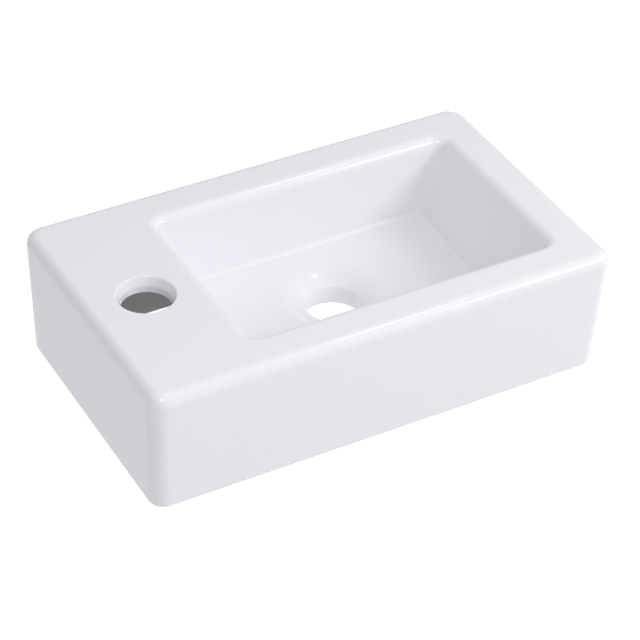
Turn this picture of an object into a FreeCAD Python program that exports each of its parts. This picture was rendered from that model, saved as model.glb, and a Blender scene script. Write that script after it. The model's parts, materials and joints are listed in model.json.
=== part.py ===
import FreeCAD, Part
import math
import os

# A small wall hung basin in vitreous china, with the two fixing sets that hang it on a wall.
# Millimetres and degrees. X runs along the basin, Y points into the wall, Z is up.
# The origin lies on the wall, midway between the two fixing holes.

# ---- Basin: outside --------------------------------------------------------------------------
basin_length = 374.0        # end to end at the deck
basin_depth = 226.5         # wall to front at the deck
basin_height = 106.0        # foot to deck
front_draft = 4.1           # the front leans in towards the foot
end_draft = 1.65            # so do both ends, a little
front_corner_radius = 12.0  # upright front corners
back_corner_radius = 15.0   # upright corners against the wall
deck_edge_radius = 8.5      # all round the top
foot_edge_radius = 5.0      # outer edge of the foot

# ---- Basin: thickness of the china -----------------------------------------------------------
skirt_thickness = 10.0      # outer walls
bowl_thickness = 10.0       # round and under the bowl
deck_thickness = 13.0       # the flat top

# ---- Basin: bowl -----------------------------------------------------------------------------
tap_ledge = 90.0            # deck left of the bowl, where the tap stands
right_ledge = 33.0          # deck right of the bowl
back_ledge = 35.7           # deck behind the bowl
front_rim = 34.8            # deck in front of the bowl
bowl_end_draft = 20.0       # the two end walls lean out towards the rim
bowl_side_draft = 6.0       # the front and back walls lean out less
bowl_side_depth = 61.0      # deck down to the floor at the front and back walls
floor_fall = 4.5            # the floor dips this much more along its middle
bowl_corner_radius = 8.0    # upright corners between bowl walls
bowl_floor_radius = 5.0     # where the walls meet the floor
bowl_rim_radius = 8.5       # where the walls meet the deck

# ---- Basin: waste hole -----------------------------------------------------------------------
waste_radius = 21.5
waste_from_left = 209.0     # left end of the basin to the hole's axis
waste_from_wall = 101.0
waste_hole_length = 16.5    # dish down to the seat underneath
dish_radius = 32.0          # round dish round the hole, before its edge is softened
dish_slope = 38.0
dish_edge_radius = 30.0     # soft edge where the floor turns into the dish
waste_lip_radius = 1.5      # where the dish turns down into the hole
waste_foot_radius = 3.5     # lower edge of the hole
waste_boss_margin = 13.0    # china round the hole underneath
waste_boss_foot_radius = 6.0
waste_boss_bevel = 2.0      # outer edge of the seat underneath

# ---- Basin: tap hole -------------------------------------------------------------------------
tap_hole_radius = 18.8      # plain land at the bottom, which the tap's shank goes through
tap_land_length = 6.0       # underside to where the hole starts to widen
tap_mouth_radius = 21.8     # where the widening mouth meets the deck
tap_from_left = 48.3        # left end of the basin to the hole's axis
tap_from_wall = 114.1
tap_rim_radius = 1.5        # edge of the mouth
tap_under_bevel = 1.0       # lower edge of the hole

# ---- Basin: underside ------------------------------------------------------------------------
hollow_corner_radius = 8.0  # upright inside corners of the skirt
hollow_roof_radius = 4.5    # where the skirt meets the underside of the deck
hollow_root_radius = 4.5    # where the bowl's outside meets the underside of the deck
foot_inner_radius = 1.5     # inner edge of the foot

# ---- Wall fixings ----------------------------------------------------------------------------
fixing_spacing = 280.0      # between the two bolts
fixing_rise = 24.0          # foot up to the bolts
fixing_hole_radius = 8.0    # through the back wall
fixing_hole_bevel = 1.0
fixing_pad_radius = 14.2    # flat seat inside the back wall
fixing_pad_height = 2.0
fixing_pad_bevel = 1.2

bolt_radius = 4.0           # metric thread, over its crests
bolt_length = 100.0
bolt_stand_out = 45.0       # wall to the bolt's nose
bolt_nose_across = 5.0      # driving hexagon on the nose
bolt_nose_length = 6.0
bolt_chamfer = 0.8
bolt_thread_in_plug = 4.0   # metric thread that reaches past the wall's face
screw_radius = 3.8          # wood screw end, over its crests
screw_tip_length = 9.0
screw_tip_radius = 0.6

plug_radius = 6.0
plug_length = 60.0
plug_end_thickness = 3.0    # closed end of the plug
plug_nose_length = 8.0      # tapered end
plug_nose_radius = 4.9
plug_collar_length = 8.0    # plain, unslotted mouth
plug_slot_width = 1.2
plug_barb_depth = 0.8
plug_barb_pitch = 6.2

sleeve_flange_radius = 12.7
sleeve_flange_thickness = 3.0
sleeve_short_of_wall = 0.5

washer_radius = 12.0
washer_thickness = 2.0

nut_across = 13.0
nut_thickness = 6.5
nut_chamfer_angle = 30.0

# ---- Clearances ------------------------------------------------------------------------------
sleeve_in_hole = 0.3        # sleeve to china, all round
bolt_in_sleeve = 0.2
bolt_in_washer = 0.2
bolt_in_nut = 0.1
bolt_in_plug = 0.1

# ---- Places that follow from the sizes -------------------------------------------------------
left_end = -basin_length / 2
right_end = basin_length / 2
foot_z = -fixing_rise
deck_z = foot_z + basin_height
overshoot = 5.0             # how far a cutting shape runs past what it cuts


def vec(x, y, z):
    return FreeCAD.Vector(x, y, z)


def slope(angle):
    return math.tan(math.radians(angle))


def fixing_xs():
    """The two bolts' places along the basin, by side."""
    return {"left": -fixing_spacing / 2, "right": fixing_spacing / 2}


# ---- Leaning walls ---------------------------------------------------------------------------
class LeaningWalls:
    """Four walls round a space, placed where they meet the deck. Each leans in as it goes down."""

    def __init__(self, left, right, front, back, ends, front_lean, back_lean):
        self.left = left
        self.right = right
        self.front = front
        self.back = back
        self.ends = ends
        self.front_lean = front_lean
        self.back_lean = back_lean

    def shift(self, angle, z, grow):
        """How far a wall has moved out at height z, when it is grow thicker."""
        return grow / math.cos(math.radians(angle)) - (deck_z - z) * slope(angle)

    def corners(self, z, grow):
        """The four corners at height z, anticlockwise from the front left one."""
        left = self.left - self.shift(self.ends, z, grow)
        right = self.right + self.shift(self.ends, z, grow)
        front = self.front - self.shift(self.front_lean, z, grow)
        back = self.back + self.shift(self.back_lean, z, grow)
        return [vec(left, front, z), vec(right, front, z), vec(right, back, z), vec(left, back, z)]

    def block(self, top, bottom, grow=0.0):
        """The solid between the walls from one height to another."""
        upper = self.corners(top, grow)
        lower = self.corners(bottom, grow)
        sides = [
            [lower[i], lower[(i + 1) % 4], upper[(i + 1) % 4], upper[i]]
            for i in range(4)
        ]
        faces = [Part.Face(Part.makePolygon(loop + loop[:1])) for loop in sides + [upper, lower]]
        return Part.Solid(Part.makeShell(faces))


# ---- Rounding --------------------------------------------------------------------------------
def rounded(shape, radius, chosen):
    """The shape with every edge that chosen picks rounded off."""
    return shape.makeFillet(radius, [edge for edge in shape.Edges if chosen(edge)])


def bevelled(shape, width, chosen):
    """The shape with every edge that chosen picks cut off at 45 degrees."""
    return shape.makeChamfer(width, [edge for edge in shape.Edges if chosen(edge)])


def upright(edge):
    box = edge.BoundBox
    return box.ZLength > box.XLength and box.ZLength > box.YLength


def level_at(z):
    """Picks the edges that lie in the level plane z."""
    return lambda edge: abs(edge.BoundBox.ZMin - z) < 0.01 and abs(edge.BoundBox.ZMax - z) < 0.01


def within(left, right, front, back):
    """Picks the edges that lie inside a rectangle seen from above."""

    def chosen(edge):
        box = edge.BoundBox
        return left < box.XMin and box.XMax < right and front < box.YMin and box.YMax < back

    return chosen


def lies_on(solid):
    """Picks the edges whose middle lies on the skin of a solid."""
    skin = Part.makeCompound(solid.Shells)

    def chosen(edge):
        middle = edge.valueAt((edge.FirstParameter + edge.LastParameter) / 2)
        return skin.distToShape(Part.Vertex(middle))[0] < 0.01

    return chosen


def both(first, second):
    return lambda edge: first(edge) and second(edge)


# ---- The basin's outside ---------------------------------------------------------------------
def outer_walls():
    return LeaningWalls(left_end, right_end, -basin_depth, 0.0, end_draft, front_draft, 0.0)


def basin_outside():
    """The block that the china fills: leaning front and ends, upright back, soft edges."""
    middle = -basin_depth / 2
    block = outer_walls().block(deck_z, foot_z)
    block = rounded(block, front_corner_radius, lambda e: upright(e) and e.BoundBox.YMax < middle)
    block = rounded(block, back_corner_radius, lambda e: upright(e) and e.BoundBox.YMin > middle)
    block = rounded(block, deck_edge_radius, level_at(deck_z))
    return rounded(block, foot_edge_radius, level_at(foot_z))


# ---- The bowl --------------------------------------------------------------------------------
def bowl_walls():
    left = left_end + tap_ledge
    right = right_end - right_ledge
    front = front_rim - basin_depth
    return LeaningWalls(
        left, right, front, -back_ledge, bowl_end_draft, bowl_side_draft, bowl_side_draft
    )


def floor_roller(grow):
    """A long cylinder along the basin, whose underside is the dipped floor."""
    run = bowl_side_depth * slope(bowl_side_draft)
    front_foot = front_rim - basin_depth + run
    back_foot = -back_ledge - run
    half_span = (back_foot - front_foot) / 2
    radius = (half_span**2 + floor_fall**2) / (2 * floor_fall)
    centre_z = deck_z - bowl_side_depth - floor_fall + radius
    start = vec(left_end, (front_foot + back_foot) / 2, centre_z)
    return Part.makeCylinder(radius + grow, basin_length, start, vec(1, 0, 0))


def below_deck(edge):
    return edge.BoundBox.ZMax < deck_z - bowl_side_depth / 2


def bowl_space():
    """The hollow of the bowl, from above the deck down to the dipped floor."""
    space = bowl_walls().block(deck_z + overshoot, foot_z)
    space = rounded(space, bowl_corner_radius, upright)
    space = space.common(floor_roller(0.0))
    return rounded(space, bowl_floor_radius, below_deck)


# ---- The waste hole --------------------------------------------------------------------------
def at_waste(z):
    return vec(left_end + waste_from_left, -waste_from_wall, z)


def waste_top_z():
    """Where the dish would meet the hole if its lip were sharp."""
    floor_z = deck_z - bowl_side_depth - floor_fall
    return floor_z - (dish_radius - waste_radius) * slope(dish_slope)


def waste_seat_z():
    """The flat ring underneath, round the hole."""
    return waste_top_z() - waste_hole_length


def round_waste(reach):
    """Picks the rings that go round the waste hole inside a given reach of its axis."""
    axis = at_waste(0)
    inside = within(axis.x - reach, axis.x + reach, axis.y - reach, axis.y + reach)
    return lambda edge: inside(edge) and edge.BoundBox.XLength > waste_radius


def bowl_with_waste():
    """The bowl's space with a dish sunk in its floor and the hole going down from the dish."""
    reach = dish_radius * 1.3
    rise = (reach - waste_radius) * slope(dish_slope)
    dish = Part.makeCone(waste_radius, reach, rise, at_waste(waste_top_z()))
    start = at_waste(waste_seat_z() - overshoot)
    hole = Part.makeCylinder(waste_radius, waste_hole_length + overshoot, start)
    space = bowl_space().fuse(dish).fuse(hole)
    rings = round_waste(dish_radius * 1.5)
    space = rounded(space, waste_lip_radius, both(rings, level_at(waste_top_z())))
    return rounded(space, dish_edge_radius, both(rings, lambda e: e.BoundBox.ZMin > waste_top_z()))


# ---- The underside ---------------------------------------------------------------------------
def bowl_outside():
    """The china's outside round the bowl, one thickness away from its inside."""
    block = bowl_walls().block(deck_z, foot_z, bowl_thickness)
    block = rounded(block, bowl_corner_radius + bowl_thickness, upright)
    block = block.common(floor_roller(bowl_thickness))
    return rounded(block, bowl_floor_radius + bowl_thickness, below_deck)


def waste_boss():
    """The thick ring underneath that the waste fitting is tightened against."""
    radius = waste_radius + waste_boss_margin
    return Part.makeCylinder(radius, deck_z - waste_seat_z(), at_waste(waste_seat_z()))


def fixing_pad(x):
    """A low round seat on the inside of the back wall, for a bolt's washer."""
    length = skirt_thickness + fixing_pad_height
    pad = Part.makeCylinder(fixing_pad_radius, length, vec(x, 0, 0), vec(0, -1, 0))
    return bevelled(pad, fixing_pad_bevel, lambda edge: edge.BoundBox.YMax < 0.01 - length)


def skirt_space():
    """The room between the skirt's four walls, under the deck."""
    roof_z = deck_z - deck_thickness
    space = outer_walls().block(roof_z, foot_z - overshoot, -skirt_thickness)
    space = rounded(space, hollow_corner_radius, upright)
    return rounded(space, hollow_roof_radius, level_at(roof_z))


def underside_hollow():
    """The open space under the basin: inside the skirt, round and below the bowl."""
    skirt = skirt_space()
    bowl = bowl_outside()
    boss = waste_boss()
    hollow = skirt.cut(bowl)
    hollow = rounded(hollow, hollow_root_radius, both(lies_on(skirt), lies_on(bowl)))
    hollow = hollow.cut(boss)
    hollow = rounded(hollow, waste_boss_foot_radius, both(lies_on(bowl), lies_on(boss)))
    for x in fixing_xs().values():
        hollow = hollow.cut(fixing_pad(x))
    return hollow


# ---- The basin -------------------------------------------------------------------------------
def at_tap(z):
    return vec(left_end + tap_from_left, -tap_from_wall, z)


def tap_hole():
    """A plain land at the bottom, and above it a mouth that widens up to the deck."""
    roof_z = deck_z - deck_thickness
    land = Part.makeCylinder(tap_hole_radius, tap_land_length + overshoot, at_tap(roof_z - overshoot))
    rise = deck_thickness - tap_land_length
    flare = (tap_mouth_radius - tap_hole_radius) / rise
    top_radius = tap_mouth_radius + overshoot * flare
    start = at_tap(roof_z + tap_land_length)
    mouth = Part.makeCone(tap_hole_radius, top_radius, rise + overshoot, start)
    return land.fuse(mouth)


def fixing_hole(x):
    start = vec(x, overshoot, 0)
    length = skirt_thickness + fixing_pad_height + 2 * overshoot
    return Part.makeCylinder(fixing_hole_radius, length, start, vec(0, -1, 0))


def basin():
    bowl = bowl_with_waste()
    tap = tap_hole()
    hollow = underside_hollow()
    china = basin_outside().cut(bowl).cut(hollow).cut(tap)
    deck = level_at(deck_z)
    china = rounded(china, bowl_rim_radius, both(deck, lies_on(bowl)))
    china = rounded(china, tap_rim_radius, both(deck, lies_on(tap)))
    china = bevelled(china, tap_under_bevel, both(level_at(deck_z - deck_thickness), lies_on(tap)))
    seat = level_at(waste_seat_z())
    china = rounded(china, waste_foot_radius, both(seat, lies_on(bowl)))
    china = bevelled(china, waste_boss_bevel, both(seat, lies_on(waste_boss())))
    china = rounded(china, foot_inner_radius, both(level_at(foot_z), lies_on(hollow)))
    for x in fixing_xs().values():
        hole = fixing_hole(x)
        china = bevelled(china.cut(hole), fixing_hole_bevel, lies_on(hole))
    return china


# ---- Turned and hexagonal pieces -------------------------------------------------------------
# A fixing's pieces share one axis, at right angles to the wall. Their places along it are given
# as distances out from the wall: positive into the room, negative into the wall.
def turned(x, profile):
    """A solid turned about the fixing's axis from (distance out, radius) points."""
    loop = [vec(x + radius, -out, 0) for out, radius in profile + profile[:1]]
    return Part.Face(Part.makePolygon(loop)).revolve(vec(x, 0, 0), vec(0, 1, 0), 360)


def ring(x, inner, outer, start, end):
    return turned(x, [(start, inner), (start, outer), (end, outer), (end, inner)])


def hexagon(x, across, start, end):
    """A hexagonal bar on the fixing's axis, with two of its corners up and down."""
    radius = across / math.sqrt(3)
    turns = [math.radians(30 + 60 * i) for i in range(7)]
    loop = [vec(x + radius * math.cos(a), -start, radius * math.sin(a)) for a in turns]
    return Part.Face(Part.makePolygon(loop)).extrude(vec(0, start - end, 0))


# ---- Places along a fixing's axis ------------------------------------------------------------
seat_out = skirt_thickness + fixing_pad_height
washer_out = seat_out + sleeve_flange_thickness
nut_out = washer_out + washer_thickness
nut_end_out = nut_out + nut_thickness
bolt_tip_out = bolt_stand_out - bolt_length


# ---- The fixing set --------------------------------------------------------------------------
def hanger_bolt(x):
    """Metric thread into the room, wood screw into the plug, driven by a hexagon on its nose."""
    nose_out = bolt_stand_out - bolt_nose_length
    shaft = turned(x, [
        (nose_out, 0),
        (nose_out, bolt_radius - bolt_chamfer),
        (nose_out - bolt_chamfer, bolt_radius),
        (-bolt_thread_in_plug, bolt_radius),
        (-bolt_thread_in_plug, screw_radius),
        (bolt_tip_out + screw_tip_length, screw_radius),
        (bolt_tip_out, screw_tip_radius),
        (bolt_tip_out, 0),
    ])
    return shaft.fuse(hexagon(x, bolt_nose_across, nose_out, bolt_stand_out))


def plug_barbs(x):
    """The saw-toothed grooves that are left between the plug's barbs."""
    first = -plug_collar_length
    room = plug_length - plug_collar_length - plug_nose_length
    for i in range(int(room / plug_barb_pitch)):
        start = first - i * plug_barb_pitch
        yield turned(x, [
            (start, plug_radius),
            (start, plug_radius + overshoot),
            (start - plug_barb_pitch, plug_radius + overshoot),
            (start - plug_barb_pitch, plug_radius - plug_barb_depth),
        ])


def wall_plug(x):
    """A barbed sleeve that sits flush in the wall and spreads when the screw is driven in."""
    bore = bolt_radius + bolt_in_plug
    bore_end = plug_end_thickness - plug_length
    plug = turned(x, [
        (0, bore),
        (0, plug_radius),
        (plug_nose_length - plug_length, plug_radius),
        (-plug_length, plug_nose_radius),
        (-plug_length, 0),
        (bore_end, 0),
        (bore_end, bore),
    ])
    for groove in plug_barbs(x):
        plug = plug.cut(groove)
    slot_length = plug_length - plug_collar_length - plug_nose_length
    slot_depth = 2 * plug_radius + overshoot
    corner = vec(x - plug_slot_width / 2, plug_collar_length, -slot_depth / 2)
    return plug.cut(Part.makeBox(plug_slot_width, slot_length, slot_depth, corner))


def flanged_sleeve(x):
    """Keeps the bolt in the middle of the china's hole and cushions the washer."""
    bore = bolt_radius + bolt_in_sleeve
    tube = fixing_hole_radius - sleeve_in_hole
    return turned(x, [
        (sleeve_short_of_wall, bore),
        (sleeve_short_of_wall, tube),
        (seat_out, tube),
        (seat_out, sleeve_flange_radius),
        (washer_out, sleeve_flange_radius),
        (washer_out, bore),
    ])


def washer(x):
    return ring(x, bolt_radius + bolt_in_washer, washer_radius, washer_out, nut_out)


def hex_nut(x):
    """A hexagon with both ends chamfered, bored for the bolt."""
    corner = nut_across / math.sqrt(3)
    flat = nut_across / 2
    bevel = (corner - flat) * slope(nut_chamfer_angle)
    bore = bolt_radius + bolt_in_nut
    envelope = turned(x, [
        (nut_out, bore),
        (nut_out, flat),
        (nut_out + bevel, corner),
        (nut_end_out - bevel, corner),
        (nut_end_out, flat),
        (nut_end_out, bore),
    ])
    return hexagon(x, nut_across, nut_out, nut_end_out).common(envelope)


# ---- Export ----------------------------------------------------------------------------------
os.makedirs("parts", exist_ok=True)


def write(shape, node):
    shape.exportStep("parts/" + node + ".step")


write(basin(), "basin")
for side, x in fixing_xs().items():
    write(wall_plug(x), "wall_plug_" + side)
    write(hanger_bolt(x), "hanger_bolt_" + side)
    write(flanged_sleeve(x), "flanged_sleeve_" + side)
    write(washer(x), "washer_" + side)
    write(hex_nut(x), "hex_nut_" + side)
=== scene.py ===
import json
import math

import bmesh
import bpy
from mathutils import Matrix, Vector


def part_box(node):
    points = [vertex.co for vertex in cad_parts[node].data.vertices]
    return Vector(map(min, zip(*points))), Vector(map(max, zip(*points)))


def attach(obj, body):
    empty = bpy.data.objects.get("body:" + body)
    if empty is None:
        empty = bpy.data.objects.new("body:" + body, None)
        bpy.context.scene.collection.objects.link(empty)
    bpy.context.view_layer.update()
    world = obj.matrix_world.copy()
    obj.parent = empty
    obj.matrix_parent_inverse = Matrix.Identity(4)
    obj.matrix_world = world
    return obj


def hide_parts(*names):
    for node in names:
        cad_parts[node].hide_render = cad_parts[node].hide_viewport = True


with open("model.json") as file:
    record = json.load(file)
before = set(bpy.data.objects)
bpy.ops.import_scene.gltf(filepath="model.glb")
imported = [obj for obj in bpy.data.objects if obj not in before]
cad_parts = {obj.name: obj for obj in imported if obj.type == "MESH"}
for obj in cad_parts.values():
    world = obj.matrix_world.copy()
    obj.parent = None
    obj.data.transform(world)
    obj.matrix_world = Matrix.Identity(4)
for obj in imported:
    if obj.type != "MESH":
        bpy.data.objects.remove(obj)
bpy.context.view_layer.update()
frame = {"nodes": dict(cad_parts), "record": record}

# ---- The basin -------------------------------------------------------------------------------
# One casting in white vitreous china: slip cast, glazed on every face that shows, pale bare
# biscuit on its ground back, and bare inside its hollow, whose dark grey is painted shade.
# All its edges are soft from the glaze.
# Its surface is laid out here in closed rings, each joined to the next.
mm = 0.001
mounts = {mount["name"]: mount for mount in frame["record"]["mounts"]}
basin_low, basin_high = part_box("basin")
deck_z = basin_high.z
foot_z = basin_low.z
left_end = -187 * mm
right_end = 187 * mm
front_y = -226.5 * mm
back_y = 0.0
skirt = 10 * mm             # thickness of the outer walls
shell = 10 * mm             # and of the china round the bowl
roof_z = deck_z - 13 * mm   # underside of the deck
upward = Vector((0, 0, 1))
nearly = 1e-6               # how far off a plane a point may lie and still count as in it


def lean(degrees):
    return math.tan(math.radians(degrees))


class Walls:
    """Four walls with rounded corners, placed where they meet the deck. They lean in downwards."""

    along, across, round_corner = 32, 20, 8     # faces along each wall and round each corner

    def __init__(self, left, right, front, back, ends, front_lean, back_lean, corners):
        self.sides = left, right, front, back
        self.leans = lean(ends), lean(front_lean), lean(back_lean)
        self.corners = corners      # radii: front right, back right, back left, front left

    def grown(self, by, corners):
        """The same walls, thicker by some amount, with other corners."""
        left, right, front, back = self.sides
        ends, front_lean, back_lean = self.leans
        end_out, front_out, back_out = [
            by * math.sqrt(1 + slope * slope) for slope in (ends, front_lean, back_lean)
        ]
        other = Walls(
            left - end_out, right + end_out, front - front_out, back + back_out, 0, 0, 0, corners
        )
        other.leans = self.leans
        return other

    def stations(self, z):
        """Points round the walls at height z, each with the direction that the wall faces."""
        ends, front_lean, back_lean = self.leans
        drop = deck_z - z
        left, right, front, back = self.sides
        left, right = left + drop * ends, right - drop * ends
        front, back = front + drop * front_lean, back - drop * back_lean
        places = (      # each corner, with the way from it to the inside
            (right, front, -1, 1), (right, back, -1, -1), (left, back, 1, -1), (left, front, 1, 1)
        )
        arcs = []
        for turn, ((x, y, in_x, in_y), radius) in enumerate(zip(places, self.corners)):
            centre = Vector((x + in_x * radius, y + in_y * radius, z))
            arc = []
            for step in range(self.round_corner + 1):
                angle = math.radians(90 * (turn - 1 + step / self.round_corner))
                level = Vector((math.cos(angle), math.sin(angle), 0))
                side_lean = front_lean if level.y < 0 else back_lean
                slope = level.x**2 * ends + level.y**2 * side_lean
                arc.append((centre + radius * level, (level - slope * upward).normalized()))
            arcs.append(arc)
        found = []
        for turn, arc in enumerate(arcs):
            found += arc[:-1]
            start, facing = arc[-1]
            end = arcs[(turn + 1) % 4][0][0]
            faces = self.across if turn % 2 == 0 else self.along
            found += [(start.lerp(end, i / faces), facing) for i in range(faces)]
        return found


def between(start, end, share):
    """The direction part of the way from one direction to another, at an even turn."""
    turn = start.angle(end)
    return (start * math.sin((1 - share) * turn) + end * math.sin(share * turn)) / math.sin(turn)


def edge_rings(walls, plane_z, radius, ball_inside, ball_below, steps=9):
    """Rings that round the edge of a level plane and the walls, from the plane to the walls."""
    flat = upward if ball_below else -upward
    centre_z = plane_z - radius * flat.z
    touch = 1 if ball_inside else -1
    low, high = walls.stations(foot_z), walls.stations(deck_z)
    rings = [[] for step in range(steps + 1)]
    for (low_point, facing), (high_point, _) in zip(low, high):
        wall = touch * facing
        z = centre_z + radius * wall.z
        centre = low_point.lerp(high_point, (z - foot_z) / (deck_z - foot_z)) - radius * wall
        for step, ring in enumerate(rings):
            ring.append(centre + radius * between(flat, wall, step / steps))
    return rings


class Surface:
    """A skin of rings under way, with a mark on each point for how bare of glaze it is."""

    def __init__(self):
        self.mesh = bmesh.new()
        self.bare = self.mesh.verts.layers.float.new("bare")

    def ring(self, points, bare=0.0):
        verts = [self.mesh.verts.new(point) for point in points]
        for vert in verts:
            vert[self.bare] = bare
        return verts

    def join(self, rings, skipped=lambda face: False):
        """Bridges each ring of points to the next, but for the faces that are skipped."""
        for first, second in zip(rings, rings[1:]):
            for i in range(len(first)):
                j = (i + 1) % len(first)
                corners = first[i], first[j], second[j], second[i]
                if not skipped([corner.co for corner in corners]):
                    self.mesh.faces.new(corners)

    def chain(self, rings, bare=0.0, skipped=lambda face: False):
        made = [self.ring(points, bare) for points in rings]
        self.join(made, skipped)
        return made

    def close_plane(self, axis, place):
        """Fills a flat region between all the open loops that lie in it."""
        loops = [
            edge for edge in self.mesh.edges
            if edge.is_boundary and all(abs(v.co[axis] - place) < nearly for v in edge.verts)
        ]
        bmesh.ops.triangle_fill(self.mesh, edges=loops, use_beauty=True, use_dissolve=False)


end_lean, front_lean = 1.65, 4.1        # in degrees; the back is upright
front_corner, back_corner = 12 * mm, 15 * mm
outer = Walls(
    left_end, right_end, front_y, back_y, end_lean, front_lean, 0.0,
    (front_corner, back_corner, back_corner, front_corner)
)
inner_corner = 8 * mm
inner = outer.grown(-skirt, [inner_corner] * 4)

tap_ledge, right_ledge = 90 * mm, 33 * mm
bowl_front = front_y + 34.8 * mm
bowl_rear = back_y - 35.7 * mm
bowl_end_lean, bowl_side_lean = 20, 6   # in degrees
bowl_corner = 8 * mm
bowl = Walls(
    left_end + tap_ledge, right_end - right_ledge, bowl_front, bowl_rear,
    bowl_end_lean, bowl_side_lean, bowl_side_lean, [bowl_corner] * 4
)
bowl_back = bowl.grown(shell, [bowl_corner + shell] * 4)

# The floor dips along its middle, like the underside of a very wide roller.
floor_drop = 61 * mm        # deck to the floor at the front and back walls
floor_dip = 4.5 * mm
floor_front = bowl_front + floor_drop * lean(bowl_side_lean)
floor_rear = bowl_rear - floor_drop * lean(bowl_side_lean)
half_span = (floor_rear - floor_front) / 2
roller_radius = (half_span**2 + floor_dip**2) / (2 * floor_dip)
roller_y = (floor_front + floor_rear) / 2
roller_z = deck_z - floor_drop - floor_dip + roller_radius


def floor_height(y, grow=0.0):
    return roller_z - math.sqrt((roller_radius + grow)**2 - (y - roller_y)**2)


def floor_rings(walls, radius, grow, steps=8):
    """Rings that round the foot of the walls into the dipped floor, from the walls down."""
    reach = roller_radius + grow - radius
    low, high = walls.stations(foot_z), walls.stations(deck_z)
    rings = [[] for step in range(steps + 1)]
    for (low_point, facing), (high_point, _) in zip(low, high):
        start = low_point - radius * facing
        rise = (high_point - low_point) / (deck_z - foot_z)
        along = rise.y**2 + rise.z**2
        across = (start.y - roller_y) * rise.y + (start.z - roller_z) * rise.z
        rest = (start.y - roller_y)**2 + (start.z - roller_z)**2 - reach**2
        climb = (-across - math.sqrt(across**2 - along * rest)) / along
        centre = start + climb * rise
        down = Vector((0, centre.y - roller_y, centre.z - roller_z)).normalized()
        for step, ring in enumerate(rings):
            ring.append(centre + radius * between(facing, down, step / steps))
    return rings


# The waste hole stands in a round dish. Its seat underneath is ground flat.
waste = Vector(mounts["waste_hole"]["pos_m"])
waste_radius = mounts["waste_hole"]["dims"]["r_mm"] * mm
dish_slope = 38
dish_radius = 32 * mm       # where the dish would meet the floor if its edge were sharp
dish_blend = 6.9 * mm       # how high above the dish its soft edge begins
lip = 1.5 * mm
waste_top = deck_z - floor_drop - floor_dip - (dish_radius - waste_radius) * lean(dish_slope)
seat_z = waste_top - 16.5 * mm
seat_edge = 3.5 * mm
boss_radius = waste_radius + 13 * mm
boss_edge = 2 * mm
boss_foot = 6 * mm


def dished(x, y):
    """The floor's height with the dish sunk in it."""
    floor = floor_height(y)
    cone = waste_top + (math.hypot(x - waste.x, y - waste.y) - waste_radius) * lean(dish_slope)
    near = max(dish_blend - abs(floor - cone), 0.0) / dish_blend
    return min(floor, cone) - near * near * dish_blend / 4


def circle(centre, radius, z, start, count):
    turns = [start + 2 * math.pi * i / count for i in range(count)]
    return [
        Vector((centre.x + radius * math.cos(turn), centre.y + radius * math.sin(turn), z))
        for turn in turns
    ]


def turned_start(ring, centre):
    """Where a circle's first point goes, so that it faces the ring's own points evenly."""
    turns = [
        math.atan2(point.y - centre.y, point.x - centre.x) - 2 * math.pi * i / len(ring)
        for i, point in enumerate(ring)
    ]
    return math.atan2(sum(map(math.sin, turns)), sum(map(math.cos, turns)))


def arc(centre_out, centre_z, radius, first, last, steps=6):
    """(distance out, height) pairs round part of a circle, between two angles in degrees."""
    angles = [math.radians(first + (last - first) * i / steps) for i in range(steps + 1)]
    return [(centre_out + radius * math.cos(a), centre_z + radius * math.sin(a)) for a in angles]


def waste_profile():
    """The hole from the dish's lip, down its wall and round its seat to the boss's side."""
    lip_z = waste_top + lip * lean(dish_slope) - lip / math.cos(math.radians(dish_slope))
    points = arc(waste_radius + lip, lip_z, lip, 90 + dish_slope, 180)
    points += arc(waste_radius + seat_edge, seat_z + seat_edge, seat_edge, 180, 270)
    return points + arc(boss_radius - boss_edge, seat_z + boss_edge, boss_edge, 270, 360, 4)


def blended(first, second, share, height):
    """A ring part of the way between two others, dropped on a surface."""
    ring = []
    for a, b in zip(first, second):
        point = a.lerp(b, share)
        point.z = height(point.x, point.y)
        ring.append(point)
    return ring


deck_edge = 8.5 * mm        # radius of the soft edges round the deck and round the bowl's rim
floor_edge = 5 * mm         # and where the bowl's walls meet its floor
roof_edge = 4.5 * mm        # and where the hollow's walls meet its roof


def underside(x, y):
    """The height of the china's underside below the bowl."""
    return floor_height(y, shell)


def bowl_chain(surface):
    """From the rim down the bowl, through the waste, and back up its outside to the roof."""
    rings = edge_rings(bowl, deck_z, deck_edge, False, True)
    rings += floor_rings(bowl, floor_edge, 0.0)
    floor_ring = rings[-1]
    count = len(floor_ring)
    start = turned_start(floor_ring, waste)
    shares = (0.25, 0.5, 0.75)
    round_dish = circle(waste, dish_radius + 14 * mm, 0, start, count)
    rings += [blended(floor_ring, round_dish, share, dished) for share in (*shares, 1.0)]
    dish_out, dish_step, dish_rings = dish_radius + 12 * mm, 1.66 * mm, 13
    for step in range(dish_rings):
        ring = circle(waste, dish_out - dish_step * step, 0, start, count)
        rings.append(blended(ring, ring, 0, dished))
    rings += [circle(waste, out, z, start, count) for out, z in waste_profile()]
    made = surface.chain(rings)

    ball_reach = roller_radius + shell + boss_foot
    foot_steps = 6
    foot = [[] for step in range(foot_steps + 1)]
    for point in circle(waste, boss_radius + boss_foot, 0, start, count):
        level = Vector((waste.x - point.x, waste.y - point.y, 0)).normalized()
        point.z = roller_z - math.sqrt(ball_reach**2 - (point.y - roller_y)**2)
        up = Vector((0, roller_y - point.y, roller_z - point.z)).normalized()
        for step, ring in enumerate(foot):
            ring.append(point + boss_foot * between(level, up, step / foot_steps))
    outside = floor_rings(bowl_back, floor_edge + shell, shell)[::-1]
    hidden = foot + [blended(foot[-1], outside[0], share, underside) for share in shares]
    hidden += outside + edge_rings(bowl_back, roof_z, roof_edge, False, True)[::-1]
    hidden = [surface.ring(points, 1.0) for points in hidden]
    surface.join([made[-1]] + hidden)


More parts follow.
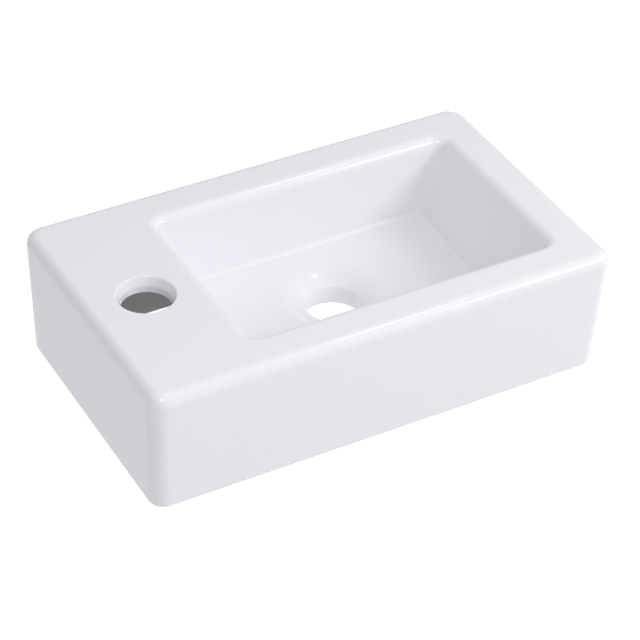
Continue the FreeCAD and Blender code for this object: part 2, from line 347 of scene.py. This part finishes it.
def flat_back(y):
    """Picks the faces of a chain that lie flat in a plane of the back wall."""
    return lambda corners: all(abs(corner.y - y) < nearly for corner in corners)


def skirt_chain(surface):
    """From the deck's edge down the outside, round the foot, and up inside to the roof."""
    foot_outside, foot_inside = 5 * mm, 1.5 * mm        # the foot's soft edges
    shown = edge_rings(outer, deck_z, deck_edge, True, True)
    shown += edge_rings(outer, foot_z, foot_outside, True, False)[::-1]
    made = surface.chain(shown, 0.0, flat_back(back_y))
    hidden = edge_rings(inner, foot_z, foot_inside, False, False, 4)
    hidden += edge_rings(inner, roof_z, roof_edge, True, True)[::-1]
    hidden = [surface.ring(points, 1.0) for points in hidden]
    surface.join([made[-1]] + hidden, flat_back(back_y - skirt))


tap = Vector(mounts["tap_hole"]["pos_m"])
tap_radius = mounts["tap_hole"]["dims"]["r_mm"] * mm


def tap_chain(surface, points=96):
    """A mouth that narrows from the deck to a plain land, and the land's edge underneath."""
    rim, bend, under = 1.5 * mm, 5 * mm, 1 * mm     # radii of its soft edges, from above
    land = 6 * mm
    land_z = roof_z + land
    flare = 3 * mm / (deck_z - land_z)              # how much the mouth opens on its way up
    tilt = math.atan(flare)
    rim_z = deck_z - rim
    rim_out = tap_radius + (rim_z - land_z) * flare + rim / math.cos(tilt)
    bend_z = land_z - bend * (1 / math.cos(tilt) - 1) / flare
    profile = arc(rim_out, rim_z, rim, 90, 180 - math.degrees(tilt))
    profile += arc(tap_radius + bend, bend_z, bend, 180 - math.degrees(tilt), 180, 4)
    profile += arc(tap_radius + under, roof_z + under, under, 180, 270, 4)
    rings = [
        surface.ring(circle(tap, out, z, 0, points), 1.0 if z < roof_z + under else 0.0)
        for out, z in profile
    ]
    surface.join(rings)


def turned(place, profile, count=64):
    """Rings round a wall fixing's axis, from (radius, distance out from the wall) pairs."""
    rings = []
    for radius, out in profile:
        flat = circle(Vector((place.x, 0, 0)), radius, 0, 0, count)
        rings.append([Vector((p.x, -out, place.z + p.y)) for p in flat])
    return rings


fixings = {side: Vector(mounts["wall_plug_" + side]["pos_m"]) for side in ("left", "right")}
seat_out = skirt + 2 * mm       # the china's pad for a washer stands 2 mm proud
fixing_hole = 8 * mm


def fixing_chain(surface, place):
    """A low pad inside the back wall, and the hole that runs through it to the back."""
    pad, pad_edge, hole_edge = 14.2 * mm, 1.2 * mm, 1 * mm
    profile = [(pad, skirt)]
    profile += arc(pad - pad_edge, seat_out - pad_edge, pad_edge, 0, 90, 3)
    profile += arc(fixing_hole + hole_edge, seat_out - hole_edge, hole_edge, 90, 180, 4)
    profile += arc(fixing_hole + hole_edge, hole_edge, hole_edge, 180, 270, 4)
    surface.chain(turned(place, profile), 1.0)


def finished(mesh, name):
    """A mesh as an object, with its faces turned outwards."""
    bmesh.ops.recalc_face_normals(mesh, faces=mesh.faces)
    data = bpy.data.meshes.new(name)
    mesh.to_mesh(data)
    mesh.free()
    data.shade_smooth()
    piece = bpy.data.objects.new(name, data)
    bpy.context.scene.collection.objects.link(piece)
    return piece


china_skin = Surface()
bowl_chain(china_skin)
skirt_chain(china_skin)
tap_chain(china_skin)
for place in fixings.values():
    fixing_chain(china_skin, place)
china_skin.close_plane(2, deck_z)
china_skin.close_plane(2, roof_z)
china_skin.close_plane(1, back_y)
china_skin.close_plane(1, back_y - skirt)
basin = finished(china_skin.mesh, "basin_china")
even = basin.modifiers.new("even shading", "WEIGHTED_NORMAL")
even.mode = "FACE_AREA"
even.keep_sharp = False


class Wire:
    """One value, colour or direction on its way through a set of nodes."""

    def __init__(self, nodes, node, output=0):
        self.nodes = nodes
        self.node = node
        self.output = output

    def __getitem__(self, output):
        return Wire(self.nodes, self.node, output)

    def maths(self, operation, first, second):
        return self.nodes.add("ShaderNodeMath", {"operation": operation}, {0: first, 1: second})

    def __add__(self, other):
        return self.maths("ADD", self, other)

    def __radd__(self, other):
        return self.maths("ADD", other, self)

    def __mul__(self, other):
        return self.maths("MULTIPLY", self, other)

    def __rmul__(self, other):
        return self.maths("MULTIPLY", other, self)


class Nodes:
    """The nodes of one finish, or of the room's light, and a way to say what they join."""

    def __init__(self, owner):
        owner.use_nodes = True
        self.tree = owner.node_tree
        self.tree.nodes.clear()

    def add(self, kind, settings, sockets):
        made = self.tree.nodes.new(kind)
        for name, value in settings.items():
            setattr(made, name, value)
        for name, value in sockets.items():
            if isinstance(value, Wire):
                self.tree.links.new(value.node.outputs[value.output], made.inputs[name])
            else:
                made.inputs[name].default_value = value
        return Wire(self, made)

    def where(self):
        """The place on the object."""
        return self.add("ShaderNodeTexCoord", {}, {})["Object"]

    def noise(self, scale, detail=3.0):
        return self.add(
            "ShaderNodeTexNoise", {}, {"Vector": self.where(), "Scale": scale, "Detail": detail}
        )

    def mixed(self, share, first, second):
        """A colour part of the way from one to another."""
        return self.add(
            "ShaderNodeMix", {"data_type": "RGBA"}, {"Factor": share, 6: first, 7: second}
        )[2]

    def ranged(self, low, high, value, from_low=0.0, from_high=1.0):
        """A value moved from one range into another, and held inside it."""
        return self.add("ShaderNodeMapRange", {}, {
            "Value": value,
            "From Min": from_low, "From Max": from_high, "To Min": low, "To Max": high,
        })

    def bump(self, height, distance, strength):
        return self.add(
            "ShaderNodeBump", {}, {"Height": height, "Distance": distance, "Strength": strength}
        )

    def surface(self, sockets):
        shader = self.add("ShaderNodeBsdfPrincipled", {}, sockets)
        self.add("ShaderNodeOutputMaterial", {}, {"Surface": shader})


china = bpy.data.materials.new("glazed china")
glazing = Nodes(china)
glaze = (0.862, 0.858, 0.874, 1)
# The hollow's dark grey is painted shade, much darker than the bare china body really is.
hollow_painted_shade = (0.31, 0.305, 0.30, 1)
biscuit = (0.74, 0.73, 0.70, 1)
glaze_roughness, bare_roughness = 0.18, 0.55
mottle = glazing.noise(160.0)       # specks of about 6 mm, which also fray the glaze's edge
wave = glazing.noise(14.0, 1.0)     # the glaze's slow unevenness, about 70 mm long
marked = glazing.add("ShaderNodeAttribute", {"attribute_name": "bare"}, {})["Fac"]
depth = glazing.add("ShaderNodeSeparateXYZ", {}, {"Vector": glazing.where()})["Y"]
ground_back = glazing.ranged(0.0, 1.0, depth, back_y - 0.8 * mm, back_y - 0.3 * mm)
# bare marks the unglazed faces; inside the hollow it also lays on the painted shade.
bare = glazing.ranged(0.0, 1.0, marked + ground_back + 0.25 * mottle, 0.45, 0.75)
glazing.surface({
    "Base Color": glazing.mixed(
        bare, glaze, glazing.mixed(ground_back, hollow_painted_shade, biscuit)
    ),
    "Roughness": glazing.ranged(glaze_roughness, bare_roughness, bare),
    "Normal": glazing.bump(wave + 0.15 * bare * mottle, 0.4 * mm, 0.25),
})
basin.data.materials.append(china)
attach(basin, "root")
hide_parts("basin")

# ---- The wall plugs --------------------------------------------------------------------------
# Grey moulded nylon. Each stands in its hole in the wall, flush with the wall's face, and its
# slotted, barbed length spreads when the screw is driven in. The frame's own solid is kept.
plug_nylon = bpy.data.materials.new("grey nylon")
moulding = Nodes(plug_nylon)
dark_grey, light_grey = (0.135, 0.14, 0.15, 1), (0.175, 0.18, 0.19, 1)
cloudy = moulding.noise(220.0)
moulding.surface({
    "Base Color": moulding.mixed(cloudy, dark_grey, light_grey),
    "Roughness": moulding.ranged(0.42, 0.6, cloudy),
    "Normal": moulding.bump(moulding.noise(2600.0), 0.03 * mm, 0.4),
    "Specular IOR Level": 0.4,
})
for side in fixings:
    plug = frame["nodes"]["wall_plug_" + side]
    plug.data.materials.clear()
    plug.data.materials.append(plug_nylon)

# ---- The hanger bolts ------------------------------------------------------------------------
# Zinc plated steel. A wood screw thread bites in the plug, a rolled metric thread carries the
# washer and the nut, and a hexagon on the nose takes the spanner that drives it.
bolt_nose, bolt_end = 39 * mm, 45 * mm      # distances out from the wall: the driving hexagon
bolt_joint, bolt_tip = -4 * mm, -55 * mm    # where the wood screw begins, and its point
bolt_radius = 4 * mm
nose_across, nose_soft = 5 * mm, 0.4 * mm   # the hexagon over its flats, and its soft end
around = 24                                 # points round each thread


def radius_at(out, points):
    """A radius at a distance out, on straight lines between (distance out, radius) pairs in mm."""
    for (start, first), (end, last) in zip(points, points[1:]):
        if out <= end * mm:
            share = (out / mm - start) / (end - start)
            return (first + (last - first) * share) * mm
    return points[-1][1] * mm


def thread_rings(place, start, end, pitch, cut, root, crest):
    """A right-hand thread between two distances out, as rings that each climb by one pitch.

    cut gives the thread's section as (share of the pitch, share of the depth) pairs."""
    rings = []
    for turn in range(-1, math.ceil((end - start) / pitch) + 1):
        for share, height in cut:
            ring = []
            for i in range(around):
                out = start + (turn + share + i / around) * pitch
                out = min(max(out, start), end)
                low, high = radius_at(out, root), radius_at(out, crest)
                radius = low + (high - low) * height
                angle = 2 * math.pi * i / around
                ring.append(Vector((
                    place.x + radius * math.cos(angle), -out, place.z + radius * math.sin(angle)
                )))
            rings.append(ring)
    return rings


def add_thread(mesh, rings, per_turn):
    """Faces between the rings of a thread. A ring's end meets the ring one turn further on."""
    made = [[mesh.verts.new(point) for point in ring] for ring in rings]
    for k in range(len(made) - per_turn - 1):
        for i in range(around):
            first, second = made[k], made[k + 1]
            j = i + 1
            if j == around:
                j, third, fourth = 0, made[k + per_turn], made[k + per_turn + 1]
            else:
                third, fourth = first, second
            mesh.faces.new((first[i], third[j], fourth[j], second[i]))


def hexagon_ring(place, across, out, limit, count=around):
    """Points round a hexagon with corners up and down, held inside a circle."""
    ring = []
    for i in range(count):
        angle = 2 * math.pi * i / count
        flat = math.radians(math.degrees(angle + math.pi / 6) % 60 - 30)
        radius = min(across / 2 / math.cos(flat), limit)
        ring.append(Vector((
            place.x + radius * math.cos(angle), -out, place.z + radius * math.sin(angle)
        )))
    return ring


def crisp(piece, degrees=32):
    """Keeps the edges sharp where the faces turn by more than some angle."""
    piece.data.set_sharp_from_angle(angle=math.radians(degrees))


plating = bpy.data.materials.new("zinc plated steel")
zinc = Nodes(plating)
blue_zinc, yellow_zinc = (0.52, 0.53, 0.56, 1), (0.62, 0.61, 0.58, 1)
passivated = zinc.noise(90.0)
grain = zinc.noise(1500.0)
zinc.surface({
    "Base Color": zinc.mixed(passivated, blue_zinc, yellow_zinc),
    "Metallic": 1.0,
    "Roughness": zinc.ranged(0.26, 0.42, passivated + 0.3 * grain, 0.3, 1.0),
    "Normal": zinc.bump(grain, 0.02 * mm, 0.3),
})

# The two threads: pitch, section, and root and crest as (distance out, radius) pairs in mm.
metric_pitch = 1.25 * mm
metric_cut = ((0, 1), (0.125, 1), (0.4375, 0), (0.6875, 0))
metric_root = ((-4, 3.23), (38.2, 3.23), (39, 3.2))
metric_crest = ((-4, 3.23), (-2.5, 4), (38.2, 4), (39, 3.2))
wood_pitch = 3.2 * mm
wood_cut = ((0, 1), (0.06, 1), (0.24, 0), (0.82, 0))
wood_root = ((-55, 0.6), (-46, 2.5), (-7, 2.7), (-4, 3.23))
wood_crest = ((-55, 0.6), (-46, 3.8), (-11, 3.8), (-8, 2.7), (-7, 2.7), (-4, 3.23))
for side, place in fixings.items():
    steel = bmesh.new()
    add_thread(steel, thread_rings(
        place, bolt_joint, bolt_nose, metric_pitch, metric_cut, metric_root, metric_crest
    ), len(metric_cut))
    add_thread(steel, thread_rings(
        place, bolt_tip, bolt_joint, wood_pitch, wood_cut, wood_root, wood_crest
    ), len(wood_cut))
    nose = [
        turned(place, [(metric_crest[-1][1] * mm, bolt_nose)], around)[0],
        hexagon_ring(place, nose_across, bolt_nose, bolt_radius),
        hexagon_ring(place, nose_across, bolt_end - nose_soft, bolt_radius),
        hexagon_ring(place, nose_across, bolt_end, nose_across / 2),
    ]
    made = [[steel.verts.new(point) for point in ring] for ring in nose]
    for first, second in zip(made, made[1:]):
        for i in range(around):
            j = (i + 1) % around
            steel.faces.new((first[i], first[j], second[j], second[i]))
    bmesh.ops.remove_doubles(steel, verts=steel.verts, dist=nearly)
    bmesh.ops.dissolve_degenerate(steel, edges=steel.edges, dist=nearly / 10)
    bmesh.ops.holes_fill(steel, edges=[edge for edge in steel.edges if edge.is_boundary], sides=0)
    bolt = finished(steel, "hanger_bolt_thread_" + side)
    crisp(bolt)
    bolt.data.materials.append(plating)
    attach(bolt, "root")
    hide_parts("hanger_bolt_" + side)

# ---- The flanged sleeves ---------------------------------------------------------------------
# Natural white nylon. Each lines the china's hole, so that the bolt stands in its middle and the
# washer bears on the sleeve's flange, not on the china.
sleeve_nylon = bpy.data.materials.new("white nylon")
milky = Nodes(sleeve_nylon)
cream, milk_white = (0.60, 0.585, 0.53, 1), (0.68, 0.665, 0.62, 1)
clouds = milky.noise(180.0)
milky.surface({
    "Base Color": milky.mixed(clouds, cream, milk_white),
    "Roughness": milky.ranged(0.38, 0.52, clouds),
    "Normal": milky.bump(milky.noise(2200.0), 0.03 * mm, 0.35),
})


def softened(corners, soft):
    """A closed section with each corner rounded off by a short curve."""
    section = []
    for i, corner in enumerate(corners):
        start = corner + soft * (corners[i - 1] - corner).normalized()
        end = corner + soft * (corners[(i + 1) % len(corners)] - corner).normalized()
        section += [start, (start + 2 * corner + end) / 4, end]
    return section


def turned_piece(name, place, corners, soft, count=72):
    """A closed ring of some section round a fixing's axis, from (radius, distance out) in mm."""
    section = softened([Vector(corner) * mm for corner in corners], soft)
    skin = Surface()
    made = skin.chain(turned(place, section, count))
    skin.join([made[-1], made[0]])
    piece = finished(skin.mesh, name)
    crisp(piece, 50)
    return piece


sleeve_bore, sleeve_radius, flange_radius = 4.2, 7.7, 12.7      # in mm
sleeve_start, flange_start, washer_start = 0.5, 12, 15          # in mm out from the wall
sleeve_soft = 0.5 * mm
for side, place in fixings.items():
    sleeve = turned_piece("sleeve_" + side, place, [
        (sleeve_bore, sleeve_start), (sleeve_radius, sleeve_start),
        (sleeve_radius, flange_start), (flange_radius, flange_start),
        (flange_radius, washer_start), (sleeve_bore, washer_start),
    ], sleeve_soft)
    sleeve.data.materials.append(sleeve_nylon)
    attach(sleeve, "root")
    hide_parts("flanged_sleeve_" + side)

# ---- The washers -----------------------------------------------------------------------------
# Flat rings of zinc plated steel, punched from sheet, which leaves their edges a little round.
# Each spreads its nut's pull over the flange of the sleeve behind it.
washer_bore, washer_radius, nut_start = 4.2, 12, 17     # in mm, the last out from the wall
washer_soft = 0.35 * mm
for side, place in fixings.items():
    washer = turned_piece("flat_washer_" + side, place, [
        (washer_bore, washer_start), (washer_radius, washer_start),
        (washer_radius, nut_start), (washer_bore, nut_start),
    ], washer_soft)
    washer.data.materials.append(plating)
    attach(washer, "root")
    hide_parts("washer_" + side)

# ---- The nuts --------------------------------------------------------------------------------
# Zinc plated steel hexagons, 13 mm across their flats and 6.5 mm thick, chamfered at both ends
# and countersunk round their bores. They pull the basin home against the wall.
nut_across, nut_end = 13 * mm, 23.5 * mm
nut_bore, nut_sink, nut_face = 4.1 * mm, 4.6 * mm, 6.4 * mm     # radii from the axis out
nut_points = 72
nut_chamfer = 30        # in degrees


def nut_side(place, end_out, inwards):
    """The chamfer at one end: from a circle on the end face down to the six flats."""
    ring = []
    for flat in hexagon_ring(place, nut_across, 0, nut_across, nut_points):
        reach = math.hypot(flat.x - place.x, flat.z - place.z)
        drop = (reach - nut_across / 2) * lean(nut_chamfer)
        ring.append(Vector((flat.x, -(end_out + inwards * drop), flat.z)))
    return ring


for side, place in fixings.items():
    start, sunk = nut_start * mm, nut_sink - nut_bore
    rings = turned(
        place, [(nut_bore, start + sunk), (nut_sink, start), (nut_face, start)], nut_points
    )
    rings += [nut_side(place, start, 1), nut_side(place, nut_end, -1)]
    rings += turned(
        place, [(nut_face, nut_end), (nut_sink, nut_end), (nut_bore, nut_end - sunk)], nut_points
    )
    skin = Surface()
    made = skin.chain(rings)
    skin.join([made[-1], made[0]])
    nut = finished(skin.mesh, "nut_" + side)
    crisp(nut, 20)
    nut.data.materials.append(plating)
    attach(nut, "root")
    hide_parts("hex_nut_" + side)

# ---- The floor -------------------------------------------------------------------------------
# A pale sheet of paper far below the basin, which hangs in the air as on its wall. It looks
# white, and takes the basin's shadow, which is faint that far down.
sheet_z = foot_z - 450 * mm
sheet_reach = 8.0       # metres from the middle to each side
paper_white, paper_glow = (0.85, 0.85, 0.85, 1), 0.48
sheet_corners = [
    (x * sheet_reach, y * sheet_reach, sheet_z) for x, y in ((-1, -1), (1, -1), (1, 1), (-1, 1))
]
sheet_mesh = bpy.data.meshes.new("pale_sheet")
sheet_mesh.from_pydata(sheet_corners, [], [(0, 1, 2, 3)])
sheet = bpy.data.objects.new("pale_sheet", sheet_mesh)
bpy.context.scene.collection.objects.link(sheet)

paper = bpy.data.materials.new("pale paper")
backdrop = Nodes(paper)
path = backdrop.add("ShaderNodeLightPath", {}, {})
seen = path["Is Camera Ray"] + path["Is Glossy Ray"] + path["Is Transmission Ray"]
lit = backdrop.add("ShaderNodeBsdfDiffuse", {}, {"Color": paper_white})
glow = backdrop.add("ShaderNodeEmission", {}, {"Color": (1, 1, 1, 1), "Strength": paper_glow})
white = backdrop.add("ShaderNodeAddShader", {}, {0: lit, 1: glow})
shown = backdrop.add("ShaderNodeMixShader", {}, {0: seen, 1: lit, 2: white})
backdrop.add("ShaderNodeOutputMaterial", {}, {"Surface": shown})
sheet_mesh.materials.append(paper)

# ---- Light and camera ------------------------------------------------------------------------
# A pale room, a little brighter in front and behind than at the sides. Three softboxes stand
# above it, to the left in front, to the right in front and to the right, and a small lamp
# overhead draws the thin bright lines along the soft edges.
world = bpy.data.worlds.new("studio")
bpy.context.scene.world = world
room = Nodes(world)
facing = room.add("ShaderNodeTexCoord", {}, {})["Generated"]


def glow_from(direction, strength):
    """Light from one side of the room, that fades out to nothing at right angles to it."""
    towards = room.add(
        "ShaderNodeVectorMath", {"operation": "DOT_PRODUCT"}, {0: facing, 1: direction}
    )["Value"]
    held = room.ranged(0.0, 1.0, towards)
    return strength * held * held


from_above, from_front, from_behind, from_each_end = 0.37, 0.56, 0.61, 0.34
out, up = 0.97, 0.24        # the sides of the room are brightest a little above level
strength = (
    glow_from((0, 0, 1), from_above)
    + glow_from((0, -out, up), from_front) + glow_from((0, out, up), from_behind)
    + glow_from((out, 0, up), from_each_end) + glow_from((-out, 0, up), from_each_end)
)
daylight = (1.016, 1.0, 1.045)
ambient = room.add("ShaderNodeBackground", {}, {"Color": (*daylight, 1), "Strength": strength})
plain = room.add("ShaderNodeBackground", {}, {"Color": (1, 1, 1, 1), "Strength": 1.0})
watched = room.add("ShaderNodeLightPath", {}, {})["Is Camera Ray"]
sky = room.add("ShaderNodeMixShader", {}, {0: watched, 1: ambient, 2: plain})
room.add("ShaderNodeOutputWorld", {}, {"Surface": sky})

basin_middle = Vector((0, -110 * mm, 50 * mm))


def softbox(name, place, size, power):
    """A square lamp, in metres and watts, turned towards the basin."""
    lamp = bpy.data.lights.new(name, "AREA")
    lamp.shape = "SQUARE"
    lamp.size = size
    lamp.energy = power
    lamp.color = daylight
    light = bpy.data.objects.new(name, lamp)
    light.location = place
    towards = basin_middle - light.location
    light.rotation_euler = towards.to_track_quat("-Z", "Y").to_euler()
    bpy.context.scene.collection.objects.link(light)


softbox("right front softbox", (1.01, -1.12, 0.92), 0.5, 7.2)
softbox("left front softbox", (-0.51, -1.12, 1.26), 0.5, 6.3)
softbox("right softbox", (1.55, -0.28, 0.69), 1.2, 4.3)
softbox("small overhead lamp", (0.66, -0.38, 1.54), 0.1, 1.05)

# The camera stands where the photograph was taken from, solved from the basin's straight edges.
camera_place = (-0.71727, -1.38422, 1.13994)
heading, downwards, roll = -29.5785, 37.7624, 1.5054        # in degrees
camera_data = bpy.data.cameras.new("camera")
camera_data.sensor_width = 36
camera_data.lens = 138.7
camera = bpy.data.objects.new("camera", camera_data)
turn = (
    Matrix.Rotation(math.radians(heading), 4, "Z")
    @ Matrix.Rotation(math.radians(90 - downwards), 4, "X")
    @ Matrix.Rotation(math.radians(roll), 4, "Z")
)
camera.matrix_world = Matrix.Translation(camera_place) @ turn
bpy.context.scene.collection.objects.link(camera)
bpy.context.scene.camera = camera
bpy.context.scene.view_settings.view_transform = "Standard"
